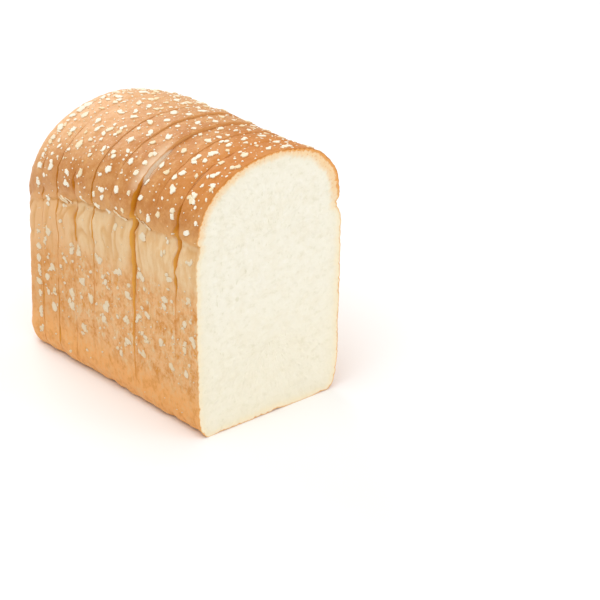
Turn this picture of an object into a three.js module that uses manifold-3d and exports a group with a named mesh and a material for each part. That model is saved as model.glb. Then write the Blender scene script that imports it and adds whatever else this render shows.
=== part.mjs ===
// A sliced tin loaf that still stands as one block: eight slices and a heel, with oat flakes baked on.
//
// Millimetres, +Z up. The cut face looks along -Y, the crusted heel is at the +Y end, and the origin is
// in the middle of the block's underside. Every slice is one solid, with its largest flakes fused on.

import * as THREE from 'three';
import Module from 'manifold-3d';
import { mergeVertices } from 'three/addons/utils/BufferGeometryUtils.js';

const wasm = await Module();
wasm.setup();

// ---- Driving dimensions -------------------------------------------------------------------------

// The cross-section of the front slice. The tin widens upwards, and the crown has risen out of it.
const baseHalfWidth = 47.5;       // above the rounded bottom corner
const cornerWidth = 8;            // the bottom corner is taller than it is wide
const cornerHeight = 13;
const rimHalfWidth = 49.6;        // where the straight side ends
const rimHeight = 100;
const creaseHeight = 114;         // the crease where the crown folds over the side
const creaseDepth = 2.3;
const crownOverCrease = 5;        // the crown's two halves stand this much higher than the crease
const loafHeight = 155;
// Each half of the crown is a quarter of an oval. A roundness of 2 is an ellipse, and more is fuller.
const crownLeft = { halfWidth: 47.9, roundness: 2.0 };
const crownRight = { halfWidth: 48.9, roundness: 2.25 };
// How many steps the outline takes round the corner, up the side and over half of the crown.
const cornerSteps = 4;
const sideSteps = 4;
const crownSteps = 9;

// Each slice from the cut face to the heel: its thickness, how much higher its crown stands than an
// even loaf's, and how far its upper part leans sideways.
const slices = [
  { name: 'slice_1', thickness: 18.5, lift: 0.5, lean: 0.6 },
  { name: 'slice_2', thickness: 18.0, lift: 0.1, lean: 0.2 },
  { name: 'slice_3', thickness: 18.0, lift: 0.6, lean: 0.5 },
  { name: 'slice_4', thickness: 18.0, lift: 2.2, lean: -0.8 },
  { name: 'slice_5', thickness: 17.0, lift: 3.3, lean: -0.2 },
  { name: 'slice_6', thickness: 17.0, lift: 3.5, lean: -0.7 },
  { name: 'slice_7', thickness: 16.0, lift: 3.1, lean: -0.1 },
  { name: 'slice_8', thickness: 14.0, lift: 2.3, lean: -0.4 },
  { name: 'heel', thickness: 15.0, lift: 1.0, lean: -0.2 },
];

const leanStart = 20;             // a slice leans between these heights
const leanEnd = 90;

// Towards the heel the loaf spreads, most of all at its foot, and the crown and the crease come down.
// Above the foot, the slices behind the third stand a little proud of those in front.
const spreadByHeel = { foot: 5.4, rim: 1.0, crown: 1.8 };
const firstProudSlice = 3;
const proudStep = 1.0;
const crownDrop = 16;
const creaseDrop = 12.5;
const heelCreaseDrop = 9;         // the crease dips this much more where the crown folds over the heel
const heelDipStart = 0.75;        // from this share of the block's length on

// The gap between neighbours is narrow at the foot, and each has its own width beside the crease and
// on top of the crown.
const gapAtFoot = 0.3;
const gapsBesideCrease = [1.9, 0.5, 2.1, 0.5, 0.9, 1.7, 0.8, 0.5];
const gapsAtCrown = [0.9, 0.4, 1.0, 0.4, 1.1, 0.4, 0.9, 0.6];
const gapStart = 50;              // height at which the gap starts to open
const gapWidest = 98;

// The heel's outer face curves over into the side, the crown and the base.
const heelSideRound = 3;
const heelCrownRound = 23;
const heelBaseRound = 2;
const heelBend = 9.5;             // how far from the outer face the curve starts
const heelRings = 4;

// Oat flakes: the largest ones, which stand out as relief.
const flakesPerSlice = 32;
const flakesOnHeelFace = 16;
const largestFlake = 2.7;         // half of a flake's length
const smallestFlake = 1.5;
const slimmestFlake = 0.62;       // a flake's width as a share of its length
const roundestFlake = 0.92;
const flakeTopSize = 0.8;         // its top as a share of its foot
const flakeHeight = 0.75;         // how far a flake stands out of the crust
const flakeDepth = 0.7;           // how far it is sunk in
const flakeSides = 6;
const shortestReach = 0.84;       // a corner's distance from the flake's middle, as a share of its size
const longestReach = 1.1;
const flakeClearance = 0.4;       // from a flake to the slice's cut edges
const heelFaceMargin = 7;         // from the flakes on the heel's outer face to its curve
const heelFaceFoot = 26;          // the lowest of them
const heelFaceTop = 100;          // and the highest
const crownFlakesUp = { none: 0, full: 9 };       // over the crease
const topFlakesUp = { none: 8, full: 30 };        // they are thickest on top of the crown
const shoulderFlakeShare = 0.5;   // how thickly they lie on its shoulders, against its top
const sideFlakesUp = { none: 24, full: 40 };      // they thin out below this band of the side
const sideFlakesDown = { full: 34, none: 20 };    // and above it, this far under the crease
const sideFlakeShare = 0.36;      // how thickly they lie there
const strayFlakeShare = 0.03;     // and everywhere else
const flakeTries = 7;             // places tried for each flake; the emptiest one is taken
const flakeSeed = 41;

// Colours of the crust and its finish.
const crustColour = 0xd9974f;
const crustRoughness = 0.6;

// ---- Small helpers ------------------------------------------------------------------------------

// A repeatable source of numbers from 0 to 1.
function seededRandom(seed) {
  let state = seed >>> 0;
  return () => {
    state = (state + 0x6d2b79f5) >>> 0;
    let t = state;
    t = Math.imul(t ^ (t >>> 15), t | 1);
    t ^= t + Math.imul(t ^ (t >>> 7), t | 61);
    return ((t ^ (t >>> 14)) >>> 0) / 4294967296;
  };
}

function mix(a, b, amount) {
  return a + (b - a) * amount;
}

function smoothStep(from, to, value) {
  const t = THREE.MathUtils.clamp((value - from) / (to - from), 0, 1);
  return t * t * (3 - 2 * t);
}

const blockLength = slices.reduce((sum, slice) => sum + slice.thickness, 0);

// ---- The cross-section --------------------------------------------------------------------------

// Half of the outline, from the middle of the base up to the top of the crown, as [x, z] points. Both
// halves have their points at the same heights. Spread is how much wider each level is than at the cut
// face, and crease is the height of the crease.
function halfOutline(spread, crease, height, crownHalf) {
  const base = baseHalfWidth + spread.foot;
  const rim = rimHalfWidth + spread.rim;
  const rimLevel = rimHeight + crease - creaseHeight;
  const crown = crownHalf.halfWidth + spread.crown;
  const { roundness } = crownHalf;
  const points = [[0, 0], [base / 2, 0]];
  for (let i = 0; i <= cornerSteps; i += 1) {
    const angle = (i / cornerSteps) * Math.PI / 2;
    const x = base - cornerWidth * (1 - Math.sin(angle));
    const z = cornerHeight * (1 - Math.cos(angle));
    points.push([x, z]);
  }
  for (let i = 1; i <= sideSteps; i += 1) {
    const t = i / sideSteps;
    points.push([mix(base, rim, Math.sqrt(t)), mix(cornerHeight, rimLevel, t)]);
  }
  points.push([rim - creaseDepth * 0.4, mix(rimLevel, crease, 0.6)]);
  points.push([rim - creaseDepth, crease]);
  for (let i = 0; i < crownSteps; i += 1) {
    const rise = Math.sin((i / crownSteps) * Math.PI / 2);
    const x = crown * (1 - rise ** roundness) ** (1 / roundness);
    points.push([x, mix(crease + crownOverCrease, height, rise)]);
  }
  points.push([0, height]);
  return points;
}

// The cross-section of a slice at a place along Y.
function sectionOf(index, y) {
  const along = y / blockLength + 0.5;
  const step = index < firstProudSlice ? 0 : proudStep;
  const dip = Math.max(0, (along - heelDipStart) / (1 - heelDipStart));
  const crease = creaseHeight - creaseDrop * along - heelCreaseDrop * dip * dip;
  const spread = {
    foot: spreadByHeel.foot * along,
    rim: step + spreadByHeel.rim * along,
    crown: step + spreadByHeel.crown * along,
  };
  const height = loafHeight + slices[index].lift - crownDrop * along;
  return {
    right: halfOutline(spread, crease, height, crownRight),
    left: halfOutline(spread, crease, height, crownLeft),
    leanAt: (z) => slices[index].lean * smoothStep(leanStart, leanEnd, z),
    crease,
    height,
    halfWidth: rimHalfWidth + spread.rim,
  };
}

// Half of the gap between slice number `index` and the next one, at a height.
function halfGap(index, z) {
  const wide = gapsBesideCrease[index];
  const opening = smoothStep(gapStart, gapWidest, z);
  const closing = smoothStep(creaseHeight, loafHeight, z);
  return mix(mix(gapAtFoot, wide, opening), gapsAtCrown[index], closing) / 2;
}

// ---- A slice as a closed mesh -------------------------------------------------------------------

// A ring is the whole outline at one place along the slice, starting in the middle of the base and
// going round by the right side. Ring points with the same height lie on the same y.
function makeRing(section, yAtHeight, inset) {
  const place = (x, z) => {
    const px = x * (1 - inset.side / section.halfWidth);
    const pz = inset.base + z * (1 - (inset.base + inset.crown) / section.height);
    return [px + section.leanAt(z), yAtHeight(z), pz];
  };
  const right = section.right.map(([x, z]) => place(x, z));
  const left = section.left.slice(1, -1).reverse().map(([x, z]) => place(-x, z));
  return [...right, ...left];
}

// Closes a ring with strips between its two sides. Facing says which way the cap looks along Y.
function capTriangles(start, count, facing) {
  const half = count / 2;
  const left = (i) => start + ((count - i) % count);
  const right = (i) => start + i;
  const triangles = [];
  const add = (a, b, c) => triangles.push(facing > 0 ? [a, c, b] : [a, b, c]);
  add(right(0), right(1), left(1));
  for (let i = 1; i < half - 1; i += 1) {
    add(left(i), right(i), right(i + 1));
    add(left(i), right(i + 1), left(i + 1));
  }
  add(left(half - 1), right(half - 1), right(half));
  return triangles;
}

function loft(rings) {
  const count = rings[0].length;
  const triangles = [];
  for (let r = 0; r < rings.length - 1; r += 1) {
    for (let i = 0; i < count; i += 1) {
      const j = (i + 1) % count;
      const a = r * count + i;
      const b = r * count + j;
      const c = (r + 1) * count + j;
      const d = (r + 1) * count + i;
      triangles.push([a, c, b], [a, d, c]);
    }
  }
  triangles.push(...capTriangles(0, count, -1));
  triangles.push(...capTriangles((rings.length - 1) * count, count, 1));
  return { points: rings.flat(), triangles };
}

const noInset = { side: 0, crown: 0, base: 0 };

// A slice from y = front to y = back. frontAt and backAt give where its crust starts and ends at a height.
function buildSlice(index, front, back) {
  const isHeel = index === slices.length - 1;
  const end = isHeel ? back - heelBend : back;
  const section = sectionOf(index, end);
  const frontAt = (z) => front + (index === 0 ? 0 : halfGap(index - 1, z));
  const backAt = (z) => end - (isHeel ? 0 : halfGap(index, z));
  const rings = [makeRing(sectionOf(index, front), frontAt, noInset)];
  if (isHeel) {
    for (let i = 0; i <= heelRings; i += 1) {
      const angle = (i / heelRings) * Math.PI / 2;
      const reach = 1 - Math.cos(angle);
      const inset = {
        side: heelSideRound * reach,
        crown: heelCrownRound * reach,
        base: heelBaseRound * reach,
      };
      rings.push(makeRing(section, () => back - heelBend * (1 - Math.sin(angle)), inset));
    }
  } else {
    rings.push(makeRing(section, backAt, noInset));
  }
  return { ...loft(rings), index, section, front, back, end, frontAt, backAt, isHeel };
}

// ---- Oat flakes ---------------------------------------------------------------------------------

// How thickly flakes lie on the crust at a height: thickest on top of the crown, few in the pale band
// under the crease, some down the side, and hardly any near the foot.
function flakeDensity(z, crease) {
  const top = smoothStep(topFlakesUp.none, topFlakesUp.full, z - crease);
  const crown = smoothStep(crownFlakesUp.none, crownFlakesUp.full, z - crease);
  const overFoot = smoothStep(sideFlakesUp.none, sideFlakesUp.full, z);
  const underBand = smoothStep(sideFlakesDown.none, sideFlakesDown.full, crease - z);
  const onCrown = crown * mix(shoulderFlakeShare, 1, top);
  return Math.max(onCrown, sideFlakeShare * overFoot * underBand, strayFlakeShare);
}

// Walks round a cross-section from the foot of its right side, over the crown, to the foot of its
// left side, and gives the point and the outward direction at a share of that way.
function crustWalk(section) {
  const aboveFoot = ([, z]) => z >= cornerHeight / 2;
  const place = (x, z) => new THREE.Vector2(x + section.leanAt(z), z);
  const right = section.right.filter(aboveFoot).map(([x, z]) => place(x, z));
  const left = section.left.filter(aboveFoot).map(([x, z]) => place(-x, z));
  const way = [...right, ...left.slice(0, -1).reverse()];
  const lengths = way.slice(1).map((p, i) => p.distanceTo(way[i]));
  const total = lengths.reduce((sum, length) => sum + length, 0);
  return (share) => {
    let rest = share * total;
    let i = 0;
    while (i < lengths.length - 1 && rest > lengths[i]) {
      rest -= lengths[i];
      i += 1;
    }
    const point = way[i].clone().lerp(way[i + 1], rest / lengths[i]);
    const along = way[i + 1].clone().sub(way[i]).normalize();
    return {
      position: new THREE.Vector3(point.x, 0, point.y),
      outward: new THREE.Vector3(along.y, 0, -along.x),
      walked: share * total,
    };
  };
}

// A flake is a thin uneven disc, smaller on top, lying in the plane across `outward`.
function flakeSolid(position, outward, halfLength, random) {
  const turn = random() * Math.PI * 2;
  const slimness = mix(slimmestFlake, roundestFlake, random());
  const reference = Math.abs(outward.y) > 0.9 ? new THREE.Vector3(1, 0, 0) : new THREE.Vector3(0, 1, 0);
  const first = new THREE.Vector3().crossVectors(outward, reference).normalize();
  const second = new THREE.Vector3().crossVectors(outward, first);
  const levels = [{ height: -flakeDepth, size: 1 }, { height: flakeHeight, size: flakeTopSize }];
  const reach = Array.from({ length: flakeSides }, () => mix(shortestReach, longestReach, random()));
  const values = [];
  for (const level of levels) {
    for (let i = 0; i < flakeSides; i += 1) {
      const angle = (i / flakeSides) * Math.PI * 2;
      const long = Math.cos(angle) * halfLength * reach[i] * level.size;
      const short = Math.sin(angle) * halfLength * slimness * reach[i] * level.size;
      const u = long * Math.cos(turn) - short * Math.sin(turn);
      const v = long * Math.sin(turn) + short * Math.cos(turn);
      const point = position.clone()
        .addScaledVector(first, u)
        .addScaledVector(second, v)
        .addScaledVector(outward, level.height);
      values.push(point.x, point.y, point.z);
    }
  }
  const faces = [];
  for (let i = 1; i < flakeSides - 1; i += 1) {
    faces.push(0, i + 1, i);
    faces.push(flakeSides, flakeSides + i, flakeSides + i + 1);
  }
  for (let i = 0; i < flakeSides; i += 1) {
    const j = (i + 1) % flakeSides;
    faces.push(i, j, flakeSides + j, i, flakeSides + j, flakeSides + i);
  }
  return new wasm.Manifold(new wasm.Mesh({
    numProp: 3,
    vertProperties: new Float32Array(values),
    triVerts: new Uint32Array(faces),
  }));
}

// Takes the emptiest of a few places, so that the flakes are spread evenly but not in rows.
function emptiestPlace(drawPlace, taken) {
  let best = null;
  let bestRoom = -1;
  for (let i = 0; i < flakeTries; i += 1) {
    const place = drawPlace();
    const room = taken.reduce((least, other) => Math.min(least, place.map.distanceTo(other.map)), 1000);
    if (room > bestRoom) {
      best = place;
      bestRoom = room;
    }
  }
  return best;
}

function crustFlakes(slice, random) {
  const { front, end } = slice;
  const middle = sectionOf(slice.index, (front + end) / 2);
  const walk = crustWalk(middle);
  const inFront = crustWalk(sectionOf(slice.index, front));
  const behind = crustWalk(sectionOf(slice.index, end));
  const taken = [];
  const solids = [];
  for (let n = 0; n < flakesPerSlice; n += 1) {
    const halfLength = mix(largestFlake, smallestFlake, n / (flakesPerSlice - 1));
    const margin = halfLength * longestReach + flakeClearance;
    const drawPlace = () => {
      let share = random();
      while (random() > flakeDensity(walk(share).position.z, middle.crease)) {
        share = random();
      }
      const { position, walked } = walk(share);
      const first = slice.frontAt(position.z) + margin;
      const last = Math.max(first, slice.backAt(position.z) - margin);
      const y = mix(first, last, random());
      return { share, y, map: new THREE.Vector2(walked, y) };
    };
    const place = emptiestPlace(drawPlace, taken);
    taken.push(place);
    const { position, outward } = inFront(place.share);
    position.lerp(behind(place.share).position, (place.y - front) / (end - front)).setY(place.y);
    solids.push(flakeSolid(position, outward, halfLength, random));
  }
  return solids;
}

// The heel's outer face carries some flakes too.
function heelFaceFlakes(slice, random) {
  const taken = [];
  const solids = [];
  const halfWidth = slice.section.halfWidth - heelSideRound - heelFaceMargin;
  for (let n = 0; n < flakesOnHeelFace; n += 1) {
    const halfLength = mix(largestFlake, smallestFlake, n / (flakesOnHeelFace - 1));
    const drawPlace = () => {
      const x = mix(-halfWidth, halfWidth, random());
      const z = mix(heelFaceFoot, heelFaceTop, random());
      return { map: new THREE.Vector2(x, z) };
    };
    const place = emptiestPlace(drawPlace, taken);
    taken.push(place);
    const { x, y: z } = place.map;
    const position = new THREE.Vector3(x + slice.section.leanAt(z), slice.back, z);
    solids.push(flakeSolid(position, new THREE.Vector3(0, 1, 0), halfLength, random));
  }
  return solids;
}

// ---- Solids and meshes --------------------------------------------------------------------------

function solidFrom(points, triangles) {
  const geometry = new THREE.BufferGeometry();
  geometry.setAttribute('position', new THREE.Float32BufferAttribute(points.flat(), 3));
  geometry.setIndex(triangles.flat());
  const merged = mergeVertices(geometry, 1e-4);
  return new wasm.Manifold(new wasm.Mesh({
    numProp: 3,
    vertProperties: new Float32Array(merged.attributes.position.array),
    triVerts: new Uint32Array(merged.index.array),
  }));
}

function geometryFrom(solid) {
  const mesh = solid.getMesh();
  const geometry = new THREE.BufferGeometry();
  geometry.setAttribute('position', new THREE.BufferAttribute(new Float32Array(mesh.vertProperties), 3));
  geometry.setIndex(new THREE.BufferAttribute(new Uint32Array(mesh.triVerts), 1));
  geometry.computeVertexNormals();
  return geometry;
}

const loaf = new THREE.Group();
loaf.name = 'tin_loaf';

let front = -blockLength / 2;
slices.forEach((data, index) => {
  const slice = buildSlice(index, front, front + data.thickness);
  front += data.thickness;
  const random = seededRandom(flakeSeed + index);
  const flakes = crustFlakes(slice, random);
  if (slice.isHeel) {
    flakes.push(...heelFaceFlakes(slice, random));
  }
  let solid = solidFrom(slice.points, slice.triangles);
  for (const flake of flakes) {
    solid = solid.add(flake);
  }
  const material = new THREE.MeshStandardMaterial({
    color: crustColour,
    roughness: crustRoughness,
    metalness: 0,
  });
  const mesh = new THREE.Mesh(geometryFrom(solid), material);
  mesh.name = data.name;
  loaf.add(mesh);
});

export default loaf;
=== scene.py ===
"""Dresses a sliced tin loaf: crust and crumb for every slice, baked-on oat flakes, and a pale floor."""

import math
from collections import namedtuple
from itertools import product
from types import SimpleNamespace

import bpy
import numpy as np
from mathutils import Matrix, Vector


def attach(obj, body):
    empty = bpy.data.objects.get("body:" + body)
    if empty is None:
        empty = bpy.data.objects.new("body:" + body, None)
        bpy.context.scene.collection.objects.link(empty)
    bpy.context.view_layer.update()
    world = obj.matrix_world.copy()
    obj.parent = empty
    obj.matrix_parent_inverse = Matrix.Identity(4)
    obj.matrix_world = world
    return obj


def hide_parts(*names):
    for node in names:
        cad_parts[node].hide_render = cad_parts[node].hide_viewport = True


bl_info = {
    "name": "Sliced Tin Loaf",
    "version": (1, 0, 0),
    "blender": (4, 5, 0),
    "location": "View3D > Sidebar > Loaf",
    "description": "Builds a sliced tin loaf with oat flakes, standing as one block on a pale floor",
    "category": "Object",
}

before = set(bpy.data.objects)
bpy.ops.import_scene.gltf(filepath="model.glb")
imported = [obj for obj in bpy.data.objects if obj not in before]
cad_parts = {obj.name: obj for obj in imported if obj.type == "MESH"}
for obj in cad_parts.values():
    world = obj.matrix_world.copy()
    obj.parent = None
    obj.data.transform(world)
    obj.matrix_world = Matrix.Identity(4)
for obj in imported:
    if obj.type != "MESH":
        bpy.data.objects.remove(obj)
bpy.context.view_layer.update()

# ---- The loaf's form: millimetres, +Z up, cut face towards -Y, as in the solid model ----

METRES = 0.001                  # one millimetre in Blender's units

BASE_HALF_WIDTH = 47.5
CORNER_WIDTH, CORNER_HEIGHT = 8, 13
RIM_HALF_WIDTH, RIM_HEIGHT = 49.6, 100
CREASE_HEIGHT, CREASE_DEPTH = 114, 2.3
CREASE_CURVE = 1.8              # how late the side turns in towards the crease
CROWN_OVER_CREASE = 5
LOAF_HEIGHT = 155
CROWN_LEFT = {"half_width": 47.9, "roundness": 2.0}
CROWN_RIGHT = {"half_width": 48.9, "roundness": 2.25}

# Name, thickness, how much higher the crown stands, and how far the slice leans sideways.
SLICES = (
    ("slice_1", 18.5, 0.5, 0.6),
    ("slice_2", 18.0, 0.1, 0.2),
    ("slice_3", 18.0, 0.6, 0.5),
    ("slice_4", 18.0, 2.2, -0.8),
    ("slice_5", 17.0, 3.3, -0.2),
    ("slice_6", 17.0, 3.5, -0.7),
    ("slice_7", 16.0, 3.1, -0.1),
    ("slice_8", 14.0, 2.3, -0.4),
    ("heel", 15.0, 1.0, -0.2),
)
HEEL = len(SLICES) - 1
LEAN_START, LEAN_END = 20, 90
BLOCK_LENGTH = sum(thickness for _, thickness, _, _ in SLICES)
SPREAD_BY_HEEL = {"foot": 5.4, "rim": 1.0, "crown": 1.8}
FIRST_PROUD_SLICE, PROUD_STEP = 3, 1.0          # from this slice on, the sides stand out further
CROWN_DROP, CREASE_DROP = 16, 12.5              # from the cut face to the heel
HEEL_CREASE_DROP, HEEL_DIP_START = 9, 0.75
REAR_DIP, REAR_DIPS = 8, (-5, 75)               # how far the seen crease dips, and between which y

# The gap between two slices beside the crease, low down and on the crown, the heights where it starts to
# open and where it has narrowed again, and how far the cut jogs along the loaf under the crease.
Cut = namedtuple("Cut", "beside_crease low_down at_crown opens narrowed jog")
CUTS = (
    Cut(2.9, 0, 0.9, 74, 150, -1.7),
    Cut(0.1, 0, 0.25, 60, 134, 0.6),
    Cut(2.1, 0.1, 0.4, 57, 140, 1.1),
    Cut(1.0, 0, 0.25, 76, 134, -0.8),
    Cut(0.8, 0, 0.5, 60, 134, 0.9),
    Cut(2.6, 0.3, 0.25, 62, 126, -1.3),
    Cut(0.8, 1.1, 0.6, 60, 134, 0.5),
    Cut(0.7, 0.9, 0.5, 60, 134, -0.4),
)
GAP_AT_FOOT, GAP_WIDEST, GAP_NARROWS = 0.02, 98, 108   # a width, then two heights
LOW_DOWN = 52, 36               # the heights where the low gap starts and is full
CUT_WANDER, CUT_WANDERS, CROWN_WANDER = 0.9, (35, 70), 0.5   # how far a cut strays, from where, and on top
GAP_WANDER, WANDER_SIZE = 1.5, 10               # how unevenly a gap opens
WANDER_LOW, WANDER_HIGH, LEAST_GAPE = 0.8, 1.5, 0.12
JOG_BELOW_CREASE, JOG_REACH = 5, 4.5
CREASE_GAPE, CREASE_GAPE_REACH = 0.5, 6         # how much wider a gap is right at the crease

HEEL_SIDE_ROUND, HEEL_CROWN_ROUND, HEEL_BASE_ROUND, HEEL_BEND = 3, 23, 2, 9.5

# Steps round the corner, up the side, into the crease and over half of the crown. The coarse ones are
# the solid model's, and the large flakes find their places on them.
COARSE = {"corner": 4, "side": 4, "crease": (0.6, 1.0), "crown": 9}
FINE = {"corner": 12, "side": 40, "crease": tuple(np.linspace(0.1, 1.0, 10)), "crown": 90}


def mix(a, b, amount):
    return a + (b - a) * amount


def smooth_step(low, high, value):
    """Goes smoothly from 0 at low to 1 at high, which may be the smaller one."""
    t = np.clip((value - low) / (high - low), 0, 1)
    return t * t * (3 - 2 * t)


def hump(value, middle, width):
    """1 at the middle and almost nothing two widths away from it."""
    return np.exp(-((value - middle) / width) ** 2)


def along_at(y):
    """The share of the way from the cut face to the back of the heel."""
    return y / BLOCK_LENGTH + 0.5


def crease_at(y):
    """The height of the crease along the loaf, from the front to where the heel starts to curve over."""
    along = along_at(np.minimum(y, BLOCK_LENGTH / 2 - HEEL_BEND))
    dip = np.maximum(0, (along - HEEL_DIP_START) / (1 - HEEL_DIP_START))
    return CREASE_HEIGHT - CREASE_DROP * along - HEEL_CREASE_DROP * dip ** 2


def seen_crease_at(y):
    """The height of the crease in the crust's relief and colours, which dips further towards the heel."""
    return crease_at(y) - REAR_DIP * smooth_step(*REAR_DIPS, y)


def half_outline(spread, crease, height, crown_half, steps):
    """One half of a slice's outline, from the middle of the base to the top of the crown, as x and z."""
    base = BASE_HALF_WIDTH + spread["foot"]
    rim = RIM_HALF_WIDTH + spread["rim"]
    rim_level = RIM_HEIGHT + crease - CREASE_HEIGHT
    crown = crown_half["half_width"] + spread["crown"]
    roundness = crown_half["roundness"]
    points = [(0, 0), (base / 2, 0)]
    for angle in np.linspace(0, math.pi / 2, steps["corner"] + 1):
        points.append((base - CORNER_WIDTH * (1 - math.sin(angle)), CORNER_HEIGHT * (1 - math.cos(angle))))
    for t in np.linspace(0, 1, steps["side"] + 1)[1:]:
        points.append((mix(base, rim, math.sqrt(t)), mix(CORNER_HEIGHT, rim_level, t)))
    for t in steps["crease"]:
        points.append((rim - CREASE_DEPTH * t ** CREASE_CURVE, mix(rim_level, crease, t)))
    for angle in np.linspace(0, math.pi / 2, steps["crown"] + 1)[:-1]:
        rise = math.sin(angle)
        points.append((crown * (1 - rise ** roundness) ** (1 / roundness),
                       mix(crease + CROWN_OVER_CREASE, height, rise)))
    points.append((0, height))
    return np.array(points)


def half_gap(index, z):
    """Half of the gap behind a slice, before it turns uneven."""
    cut = CUTS[index]
    below = mix(GAP_AT_FOOT, cut.beside_crease, smooth_step(cut.opens, GAP_WIDEST, z))
    return mix(below, cut.at_crown, smooth_step(GAP_NARROWS, cut.narrowed, z)) / 2


def cut_line(index, x, z):
    """How far a cut strays along the loaf, and half of its gap, at points of the outline."""
    cut, crease = CUTS[index], crease_at(Slice(index).back)
    # the noise stays the same round the middle of the crown and under the base
    place = np.stack((np.tanh(x / 12) * 30, 0 * z + 50 * index, z), -1)
    above_crease = smooth_step(CREASE_HEIGHT, CREASE_HEIGHT + 20, z)
    wanders = smooth_step(*CUT_WANDERS, z) * mix(1, CROWN_WANDER, above_crease)
    stray = CUT_WANDER * noise(place, WANDER_SIZE, 43) * wanders
    stray += cut.jog * hump(z, crease - JOG_BELOW_CREASE, JOG_REACH)
    wander = GAP_WANDER * mix(WANDER_LOW, WANDER_HIGH, smooth_step(crease + 10, crease + 24, z))
    gape = 1 + wander * noise(place, WANDER_SIZE, 44) + CREASE_GAPE * hump(z, crease, CREASE_GAPE_REACH)
    gap = half_gap(index, z) + cut.low_down * smooth_step(*LOW_DOWN, z) / 2
    return stray, gap * np.maximum(LEAST_GAPE, gape)


class Slice:
    """Where a slice lies and the form of its cross-section."""

    def __init__(self, index):
        self.index = index
        self.name, thickness, self.lift, self.lean = SLICES[index]
        self.is_heel = index == HEEL
        self.front = sum(row[1] for row in SLICES[:index]) - BLOCK_LENGTH / 2
        self.back = self.front + thickness
        self.end = self.back - (HEEL_BEND if self.is_heel else 0)
        self.height = self.height_at(self.end)
        self.half_width = RIM_HALF_WIDTH + self.spread_at(self.end)["rim"]

    def height_at(self, y):
        return LOAF_HEIGHT + self.lift - CROWN_DROP * along_at(y)

    def spread_at(self, y):
        step = 0 if self.index < FIRST_PROUD_SLICE else PROUD_STEP
        steps = {"foot": 0, "rim": step, "crown": step}
        return {level: steps[level] + wider * along_at(y) for level, wider in SPREAD_BY_HEEL.items()}

    def lean_at(self, z):
        return self.lean * smooth_step(LEAN_START, LEAN_END, z)

    def halves(self, y, steps):
        """The right and the left half of the outline, the left one with its x turned negative."""
        form = self.spread_at(y), crease_at(y), self.height_at(y)
        left = half_outline(*form, CROWN_LEFT, steps)
        return half_outline(*form, CROWN_RIGHT, steps), left * (-1, 1)

    def front_gap(self, z):
        """Half of the gap in front of the slice."""
        return half_gap(self.index - 1, z) if self.index else 0 * z

    def back_gap(self, z):
        return 0 * z if self.is_heel else half_gap(self.index, z)


# ---- Noise ----

WORD = 0xFFFFFFFF
LATTICE_PRIMES = (374761393, 668265263, 2246822519)


def hashed(cells, seed):
    """A repeatable whole number for every cell of a lattice."""
    n = np.full(cells.shape[:-1], seed * 3266489917 & WORD, dtype=np.uint64)
    for axis, prime in enumerate(LATTICE_PRIMES):
        n = (n + (cells[..., axis].astype(np.int64) & WORD).astype(np.uint64) * prime) & WORD
        n = ((n ^ (n >> 15)) * 2654435769) & WORD
    return n ^ (n >> 13)


def noise(points, size, seed=0):
    """Smooth noise from about -1 to 1, with lumps of the given size (one number, or one for each axis)."""
    p = np.asarray(points, float) / np.asarray(size, float)
    cell = np.floor(p)
    part = p - cell
    ease = part ** 3 * (part * (part * 6 - 15) + 10)
    total = np.zeros(p.shape[:-1])
    for corner in product((0, 1), repeat=3):
        n = hashed(cell + corner, seed)
        turn = (n & 0xFFFF) / 65536 * 2 * math.pi
        rise = (n >> 16 & 0xFFFF) / 32768 - 1
        flat = np.sqrt(1 - rise * rise)
        away = part - corner
        slope = away[..., 0] * flat * np.cos(turn) + away[..., 1] * flat * np.sin(turn) + away[..., 2] * rise
        weight = np.prod(np.where(corner, ease, 1 - ease), axis=-1)
        total += weight * slope
    return total * 1.7


def noises(points, layers):
    """The sum of some noises, each given by the size of its lumps, its strength and its seed."""
    return sum(strength * noise(points, size, seed) for size, strength, seed in layers)


# ---- Relief of the crust and the crumb ----

# Noises in layers, each with the size of its lumps, its strength and its seed.
CREASE_WANDER = ((16, 3.0, 11), (5, 1.5, 11), (1.8, 0.6, 11))
FINE_RELIEF = ((3.4, 0.14, 22), (1.5, 0.09, 23))
FOLD_BENDS = (((10, 10, 14), 2.2, 24), ((4, 4, 9), 0.5, 18))

SWELL_SIZE, SWELL_ON_SIDE, SWELL_ON_CROWN = 26, 0.35, 0.5
LUMP_SIZE, LUMP_HEIGHT = 8, 0.22
FINE_ON_CROWN = 1.8             # how much stronger the fine relief is there
FOLD_SIZE, RIPPLE_SIZE = (8, 8, 34), (6, 6, 18)   # the upright folds and ripples of the pale band
FOLDED_PATCH_SIZE = (14, 14, 30)
FOLD_TOP, FOLD_FOOT = (-1.5, -4), (-42, -22)   # where they start and end, from the crease
RIPPLE_HEIGHT = 0.35
FIBRE_SIZE, FIBRE_HEIGHT = (1.6, 1.6, 14), 0.12   # fine upright fibres down the side
FOOT_WAVE, FOOT_WAVE_SIZE = 1.1, 9             # how uneven the foot is
CREASE_WIDTH = 0.75
# The lip over the crease and the dip under it: middle, from the crease, then width and height.
LIP, DIP = (2.6, 2.4, 0.7), (-3.5, 4, 0.9)
KNIFE_WAVE, KNIFE_WAVE_SIZE = 0.18, 12
PORE_SIZE, LONG_PORE_SIZE, PORE_DEPTH = 1.5, (1.3, 1.3, 3.2), 0.3

# Strands of torn dough slant down to the crease in front of these cuts, from this far over it.
TORN_CUTS = ((-21.25, 4.5), (-3.25, 5.5), (46.75, 3))
TORN_START, TORN_LENGTH, TORN_HALF_WIDTH = 2.6, 14, 1.5
SLIT_SIZE = (9, 7, 1.3)


def crease_height(points):
    """Where the crease runs. It wanders up and down along the loaf."""
    return seen_crease_at(points[..., 1]) + 1 + noises(points * (1, 1, 0), CREASE_WANDER)


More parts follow.
